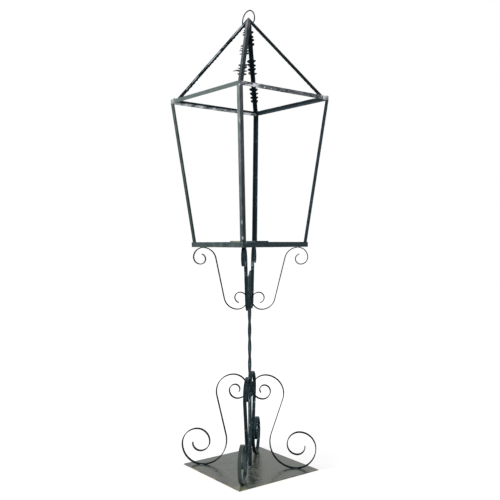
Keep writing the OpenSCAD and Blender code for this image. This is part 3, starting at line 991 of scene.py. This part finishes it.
# %% Upper square
for number, (side, angle) in enumerate(SIDES.items()):
    # The front rail gets dust and painted light, the right rail chips and painted highlights
    made = rail("upper_angle_" + side, angle, UPPER_SIDE / 2 - RAIL_SPARE, CAGE_TOP,
                UPPER_ANGLE, {"front": DUSTY_LIT, "right": CHIPPED_GLINTING, "back": SLATE}.get(side, BLACK),
                True, 0.9, 51 + number)
    # The left rail's inner face gets painted light and a painted shadow under its flat leg
    if side == "left":
        repaint(made, INNER_FACE_LIGHT, around(LANTERN_TURN))
    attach(made, "stand")
    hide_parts("upper_rail_" + side)
print("upper square:", UPPER_SIDE, "mm")

# %% [markdown]
# ## The roof bars
# Four angle irons lean in to a point. Each is sawn level at its foot and to a ridge at
# the top, where it meets its neighbours.

# %% Roof bars
ROOF_ENDS = ((ROOF_FOOT, CAGE_TOP), (0, ROOF_POINT))
BARB_GROUPS = (0.20, 0.50, 0.80)  # middles of the groups of barbs, as shares from the point
GROUP_REACH = 0.085  # how far the painted reflection goes on beside a group
FAINT, AT_POINT = 0.35, 0.7  # the painted reflection's strength between the groups, and by the point


# The painted reflection line of the front left roof bar
def reflection_streak(bar, face):
    """Sets the line in "edge" on one face, strong beside the barbs, and clears the other."""
    for vertex, value in zip(bar.data.vertices, bar.data.attributes["edge"].data):
        if value.value < 0:
            share = (ROOF_POINT - vertex.co.z / MM) / ROOF_HEIGHT
            strength = AT_POINT if share < 0.3 else 1.0
            if min(abs(share - group) for group in BARB_GROUPS) >= GROUP_REACH:
                strength = FAINT
            if (vertex.co / MM - ROOF_TIP).dot(face) < -1:
                strength = 0.0
            value.value *= strength


for number, (corner, angle) in enumerate(LANTERN_CORNERS.items()):
    made = leaning_bar("roof_angle_" + corner, angle, ROOF_ENDS, ROOF_ANGLE,
                       {"front_right": HIP_LIT, "front_left": HIP_REFLECTION}.get(
                           corner, ROOF_BLACK), 0.7, 61 + number)
    saw(made, [(UP * CAGE_TOP, DOWN), (Vector((0, 0, 0)), around(angle + 135)),
               (Vector((0, 0, 0)), around(angle - 135))])
    face = faces_of(angle, *ROOF_ENDS)[1]
    # The front bar's second face gets painted shade
    if corner == "front_right":
        repaint(made, HIP_SHADE, face)
    # The front left bar gets a painted reflection along one face
    if corner == "front_left":
        reflection_streak(made, face)
    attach(made, "stand")
    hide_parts("roof_bar_" + corner)
print("roof bars:", len(CORNERS))

# %% [markdown]
# ## The barbs
# Along both edges of each roof bar the smith has chiselled up groups of barbs: thin
# slivers cut from the edge while it is hot, and bent out and up. No two are alike. A few
# thorn shapes are made once, and a tree sets them on marked points along the edges, each
# turned outwards by the vectors that its point carries and then tilted and sized at
# random from a fixed seed. On the front bar some barbs are bent down into hooks.

# %% Thorn shapes
THORN_ROOTED, THORN_THICK, THORN_TIP = 1.5, 1.6, 0.6  # mm; the first lies inside the bar
DROOP_FROM, DROOP_RATE = 0.45, 3.3  # from this share of its length on, a thorn bends down


def thorn(name, reach, rise, droop, root):
    """A sliver along +X that rises along +Z, in mm: wide at its root, blunt at its tip."""
    work = bmesh.new()
    rings, sides = 9, 6
    loops = []
    for i in range(rings):
        t = i / (rings - 1)
        x = -THORN_ROOTED + (reach + THORN_ROOTED) * t
        z = rise * t - droop * max(0, t - DROOP_FROM) ** 2 * DROOP_RATE
        wide = root * (1 - t ** 2.2) ** 0.7 + THORN_TIP
        thick = THORN_THICK * (1 - 0.4 * t)
        loops.append([
            work.verts.new(Vector((x, thick * math.sin(a), z + wide * math.cos(a))) * MM)
            for a in (2 * math.pi * k / sides for k in range(sides))])
    for a, b in zip(loops, loops[1:]):
        for k in range(sides):
            work.faces.new((a[k], a[(k + 1) % sides], b[(k + 1) % sides], b[k]))
    work.faces.new(loops[0])
    work.faces.new(loops[-1][::-1])
    bmesh.ops.recalc_face_normals(work, faces=work.faces)
    mesh = mesh_of(work, name)
    edge = mesh.attributes.new("edge", "FLOAT", "POINT")
    edge.data.foreach_set("value", [min(1, max(0, v.co.x / (reach * MM))) * 0.8
                                    for v in mesh.vertices])
    return bpy.data.objects.new(name, mesh)


THORNS = bpy.data.collections.new("thorn_shapes")
bpy.context.scene.collection.children.link(THORNS)
for shape in (("thorn_a_short", 5.6, 2.4, 0, 4.6), ("thorn_b_long", 7.0, 3.6, 0, 4.2),
              ("thorn_c_hook", 8.5, 3.0, 9, 4.0), ("thorn_d_claw", 18.0, 4.0, 15, 7.2)):
    THORNS.objects.link(thorn(*shape))
SHORT, LONG, HOOK, CLAW = range(4)

# %% Geometry Nodes: thorns on marked points


def thorn_tree():
    w = Group("thorns on marked points", "GeometryNodeTree",
              {"Marks": GEOMETRY, "Shapes": COLLECTION, "Tilt": NUMBER, "Smallest": NUMBER,
               "Largest": NUMBER, "Seed": INTEGER, "Finish": MATERIAL}, {"Thorns": GEOMETRY})
    marks = w.add("GeometryNodeMeshToPoints", {"Mesh": w.start["Marks"]})[0]
    shapes = w.add("GeometryNodeCollectionInfo",
                   {"Collection": w.start["Shapes"], "Separate Children": True,
                    "Reset Children": True})[0]
    turned = w.add("FunctionNodeAxesToRotation",
                   {"Primary Axis": w.carried("out"), "Secondary Axis": w.carried("up")},
                   primary_axis="X", secondary_axis="Z")[0]
    tilt = w.random_vector(*(w.vectors("SCALE", {0: (s, s, s), "Scale": w.start["Tilt"]})
                             for s in (-1.0, 1.0)))
    swing = w.add("FunctionNodeEulerToRotation", {"Euler": tilt})[0]
    final = w.add("FunctionNodeRotateRotation", {"Rotation": turned, "Rotate By": swing},
                  rotation_space="LOCAL")[0]
    spread = w.add("FunctionNodeRandomValue",
                   {2: w.start["Smallest"], 3: w.start["Largest"], "Seed": w.start["Seed"]},
                   data_type="FLOAT")[1]
    placed = w.add("GeometryNodeInstanceOnPoints",
                   {"Points": marks, "Instance": shapes, "Pick Instance": True,
                    "Instance Index": w.carried("kind", "INT"), "Rotation": final,
                    "Scale": w.math("MULTIPLY", spread, w.carried("size", "FLOAT"))})[0]
    return w.finished("Thorns", placed)


THORN_TREE = thorn_tree()

# %% Barbs on the roof bars
BARB_COUNT, BARB_PITCH, PITCH_PLAY = 4, 17, 2.5  # in a group, mm apart, mm of play
BARB_IN, BARB_SHORT = 0.9, 0.6  # mm inwards from the bar's toe, and short of its edge
ROOF_LENGTH = math.hypot(ROOF_FOOT, ROOF_HEIGHT)
# The left edge of the front bar has hooks and one long claw near its foot
FRONT_HOOKS = {4: HOOK, 5: HOOK, 6: HOOK, 7: HOOK, 8: SHORT, 10: CLAW}
# How far the barbs of each bar are raised, on its anticlockwise and its clockwise edge
RAISED = {"front_right": (1.25, 1.05), "back_right": (0.5, 0.5), "back_left": (1.4, 1.2),
          "front_left": (0.7, 0.7)}
dice = random.Random(7)
toe = ROOF_LEG / math.sqrt(2)
thorns = 0
for corner, angle in LANTERN_CORNERS.items():
    along = (ROOF_TIP - around(angle, ROOF_FOOT, CAGE_TOP)).normalized()
    lateral = around(angle + 90)
    inward = along.cross(lateral)
    marks = []  # each a point in metres, two directions, a kind and a size
    for hand, size in zip((1, -1), RAISED[corner]):
        for number in range(len(BARB_GROUPS) * BARB_COUNT):
            group, place = divmod(number, BARB_COUNT)
            reach = ROOF_LENGTH * BARB_GROUPS[group]
            reach += (place - (BARB_COUNT - 1) / 2) * BARB_PITCH
            reach += dice.uniform(-PITCH_PLAY, PITCH_PLAY)
            spot = ROOF_TIP - along * reach + inward * (toe + BARB_IN)
            kind = dice.choice((SHORT, SHORT, LONG))
            if corner == "front_right" and hand == -1:
                kind = FRONT_HOOKS.get(number, kind)
            spot += lateral * hand * (toe - BARB_SHORT)
            marks.append((spot * MM, lateral * hand, along, float(kind), size))
    if corner == "front_left":  # a stub of weld wire stands up at this corner
        marks.append((around(angle, 275, CAGE_TOP) * MM, UP, around(angle), float(LONG), 1.2))
    points, outs, ups, kinds, sizes = zip(*marks)
    source = chain("barb_marks", points, out=outs, up=ups, kind=kinds, size=sizes)
    barbs = run_tree(source, THORN_TREE, "barbs_" + corner, shapes=THORNS, tilt=0.3,
                     smallest=0.85, largest=1.2, seed=5, finish=ROOF_BLACK)
    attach(barbs, "stand")
    thorns += len(marks)
print("barbs:", thorns)

# %% [markdown]
# ## The welds
# The stand is arc-welded. A bead is a row of small overlapping puddles. Its paint is
# lighter than the bars', a painted highlight for the lumps that catch the light. A tree
# sets squashed balls along each seam, sized and turned at random, and a coarse noise melts
# them into one lumpy bead.

# %% Geometry Nodes: a bead along a seam
BEAD_SPACING, LUMP_HEIGHT = 2.2, 1.6  # mm
LUMPS_PER_METRE = 350.0


def bead_tree():
    w = Group("bead along a seam", "GeometryNodeTree",
              {"Seams": GEOMETRY, "Radius": NUMBER, "Spacing": NUMBER, "Lumps": NUMBER,
               "Seed": INTEGER, "Finish": MATERIAL}, {"Bead": GEOMETRY})
    seams = w.add("GeometryNodeMeshToCurve", {"Mesh": w.start["Seams"]})[0]
    spots = w.add("GeometryNodeResampleCurve",
                  {"Curve": seams, "Length": w.start["Spacing"]}, mode="LENGTH")[0]
    puddle = w.add("GeometryNodeMeshIcoSphere",
                   {"Radius": w.start["Radius"], "Subdivisions": 2})[0]
    turn = w.add("FunctionNodeEulerToRotation",
                 {"Euler": w.random_vector((-0.5, -0.5, -3.0), (0.5, 0.5, 3.0))})[0]
    placed = w.add("GeometryNodeInstanceOnPoints",
                   {"Points": spots, "Instance": puddle, "Rotation": turn,
                    "Scale": w.random_vector((0.75, 0.75, 0.6), (1.25, 1.25, 0.95))})[0]
    real = w.add("GeometryNodeRealizeInstances", {"Geometry": placed})[0]
    lumps = w.add("ShaderNodeTexNoise", {"Scale": LUMPS_PER_METRE, "Detail": 1.0})["Color"]
    push = w.vectors("SUBTRACT", {0: lumps, 1: (0.5, 0.5, 0.5)})
    return w.finished("Bead", w.moved(real, push, w.start["Lumps"]))


BEAD_TREE = bead_tree()


def weld(name, seams, radius):
    """Welds a set of seams, each a list of points in mm; the beads ride on the stand."""
    source = wires(name + "_seams", [[p * MM for p in seam] for seam in seams])
    made = run_tree(source, BEAD_TREE, name, radius=radius * MM, spacing=BEAD_SPACING * MM,
                    lumps=LUMP_HEIGHT * MM, seed=3, finish=BEAD)
    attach(made, "stand")
    print(name + ":", len(seams), "seams,", len(made.data.polygons), "faces")


# %% Welds at the foot
# The small steps off a surface in the welds set a bead's middle in the corner that it fills
half = STEM_SIDE / 2 + 0.4
weld("stem_foot_weld",
     [[Vector((x * half, y * half, BASE_THICK + 0.6))
       for x, y in ((-1, -1), (1, -1), (1, 1), (-1, 1), (-1, -1))]], 2.9)
weld("scroll_foot_welds",
     [[beside(angle, off_centre(angle, FOOT_DISTANCE, -FOOT_SHIFT) + d, BASE_THICK + 0.8,
              hand * (STRAP_WIDTH / 2 + 0.2)) for d in (-9, 0, 9)]
      for angle in CORNERS.values() for hand in (1, -1)], 1.7)

# %% Welds on the stem
low = SCROLL_TOP - STRAP_THICK / 2 - CROWN_RADIUS * CROWN_RATIO
high = BRACKET_BOTTOM + STRAP_THICK / 2 + HEEL_RADIUS * BRACKET_RATIO
weld("stem_welds",
     [[beside(turned, STRAP_SEAT - 2.6, middle + d, hand * STEM_SIDE * 0.44)
       for d in (-reach, reach)]
      for angle in CORNERS.values()
      for turned, middle, reach in ((angle, low, 16), (angle + LANTERN_TURN, high, 14))
      for hand in (1, -1)], 1.8)

# %% Welds of the lantern
# Runs along the sides of the squares, from each corner: where a run starts (distance,
# height, across) and how long it is
DIAGONAL = 0.71
CORNER_RUNS = ((UPRIGHT_ENDS[0][0] - 3, LANTERN_FLOOR + 5, 2, 8),
               (UPRIGHT_ENDS[1][0] - 4.5, UPRIGHT_TOP, 0.5, 9),
               (ROOF_FOOT + 1, CAGE_TOP + 0.8, 0, 12))
lantern_seams = []
for angle, turned in zip(CORNERS.values(), LANTERN_CORNERS.values()):
    head = off_centre(angle, HEAD_DISTANCE, HEAD_SHIFT)
    for hand in (1, -1):
        lantern_seams.append([beside(turned, head + d, LANTERN_FLOOR - 0.9,
                                     hand * STRAP_WIDTH / 2) for d in (-7, 7)])
        lantern_seams += [[beside(turned, distance - d * DIAGONAL, height,
                                  hand * (across + d * DIAGONAL)) for d in (0, length)]
                          for distance, height, across, length in CORNER_RUNS]
    lantern_seams.append([around(turned, 283 + d, CAGE_TOP + 0.4) for d in (0, 5)])
weld("lantern_welds", lantern_seams, 1.9)
weld("roof_point_weld",
     [[around(turned + 45, 1.5 + d * 0.6, ROOF_POINT - 8 - d) for d in (0, 14)]
      for turned in LANTERN_CORNERS.values()], 2.1)

# %% [markdown]
# ## The hanging ring
# Round bar bent to a half circle, with a flat bottom that lies under the joint of the
# roof bars. It is the one loose piece of the stand, so it rides on its own body.

# %% Ring


def arc(across, radius, start, stop, step):
    """Points (across, up) every few degrees round a middle at the height of the corners."""
    return [Vector((across + radius * math.cos(a), RING_CORNER + radius * math.sin(a)))
            for a in map(math.radians, range(start, stop + 1, step))]


def ring_path():
    half = RING_RADIUS - RING_CORNER
    flat = [Vector((half * k / 4 - half, 0)) for k in range(1, 9)]
    return (arc(0, RING_RADIUS, 0, 180, 5) + arc(-half, RING_CORNER, 190, 270, 10) + flat
            + arc(half, RING_CORNER, 280, 350, 10))


pivot = ROOF_POINT - RING_DROP
points = [around(LANTERN_TURN, p.x, pivot + p.y) for p in ring_path()]
ring = swept("loose_ring", points, around(LANTERN_TURN + 90), WIRE, RING_PAINT, dent=0.05,
             seed=71, dent_size=0.01, closed=True)
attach(ring, "ring")
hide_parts("hanging_ring")
print("ring:", len(ring.data.polygons), "faces")

# %% [markdown]
# ## Floor, light and background
# The stand is shown on a pale floor in soft studio light: one large soft lamp from the
# front left, a weaker one from the right, and an even pale surrounding.

# %% Floor
FLOOR_REACH, FLOOR_Z = 9, -0.0004  # metres
NEAR, FAR = 0.25, 0.9  # metres from the stand's axis
GLOW, NEAR_GLOW, FAR_GLOW = 1.24, 0.55, 0.8  # its strength, and its share near and far

floor_mesh = bpy.data.meshes.new("floor")
floor_mesh.from_pydata([(x * FLOOR_REACH, y * FLOOR_REACH, FLOOR_Z)
                        for x, y in ((-1, -1), (1, -1), (1, 1), (-1, 1))],
                       [], [(0, 1, 2, 3)])
floor = add_object("floor", floor_mesh)
floor_paint = bpy.data.materials.new("floor_white")
w = Wiring(floor_paint)
seen = w.add("ShaderNodeLightPath")["Is Camera Ray"]
matt = w.add("ShaderNodeBsdfDiffuse", {"Color": (0.85, 0.85, 0.85, 1)})[0]
glow = w.add("ShaderNodeEmission", {"Color": (1, 1, 1, 1), "Strength": GLOW})[0]
# Near the stand more of the matt floor shows through the glow, so its shadow stays
reach = w.vectors("LENGTH", {0: w.add("ShaderNodeTexCoord")["Object"]}, "Value")
share = w.math("MULTIPLY", seen, w.ranged(reach, NEAR, FAR, NEAR_GLOW, FAR_GLOW))
both = w.add("ShaderNodeMixShader", {0: share, 1: matt, 2: glow})[0]
w.add("ShaderNodeOutputMaterial", {"Surface": both})
floor_mesh.materials.append(floor_paint)
print("floor:", 2 * FLOOR_REACH, "m wide")

# %% Lamps and world
AIM_HEIGHT = 0.8  # metres
WORLD_LIGHT = 0.55  # its strength for the light that it sheds; it is seen as white


def lamp(name, turn_angle, distance, height, size, power):
    """A square soft lamp aimed at the middle of the stand."""
    light = bpy.data.lights.new(name, "AREA")
    light.shape = "SQUARE"
    light.size = size
    light.energy = power
    made = add_object(name, light)
    made.location = around(turn_angle, distance, height)
    aim = UP * AIM_HEIGHT - made.location
    made.rotation_euler = aim.to_track_quat("-Z", "Y").to_euler()


lamp("key", 262, 2.6, 2.4, 1.6, 70)
lamp("fill", 350, 3.4, 2.2, 2.0, 18)
world = bpy.data.worlds.new("studio")
bpy.context.scene.world = world
w = Wiring(world)
rays = w.add("ShaderNodeLightPath")
seen = rays["Is Camera Ray"]
for other in ("Is Transmission Ray", "Is Glossy Ray"):
    seen = w.math("ADD", seen, rays[other], use_clamp=True)
plain, white = (w.add("ShaderNodeBackground", {"Color": (1, 1, 1, 1), "Strength": s})[0]
                for s in (WORLD_LIGHT, 1.0))
both = w.add("ShaderNodeMixShader", {0: seen, 1: plain, 2: white})[0]
w.add("ShaderNodeOutputWorld", {"Surface": both})
bpy.context.scene.view_settings.view_transform = "Standard"
print("lamps: key and fill")

# %% [markdown]
# ## Clear away
# The sections were only tools, so they go.

# %% Clear away the tools
for tool in [*SECTIONS, *THORNS.objects]:
    bpy.data.objects.remove(tool)
bpy.data.collections.remove(THORNS)
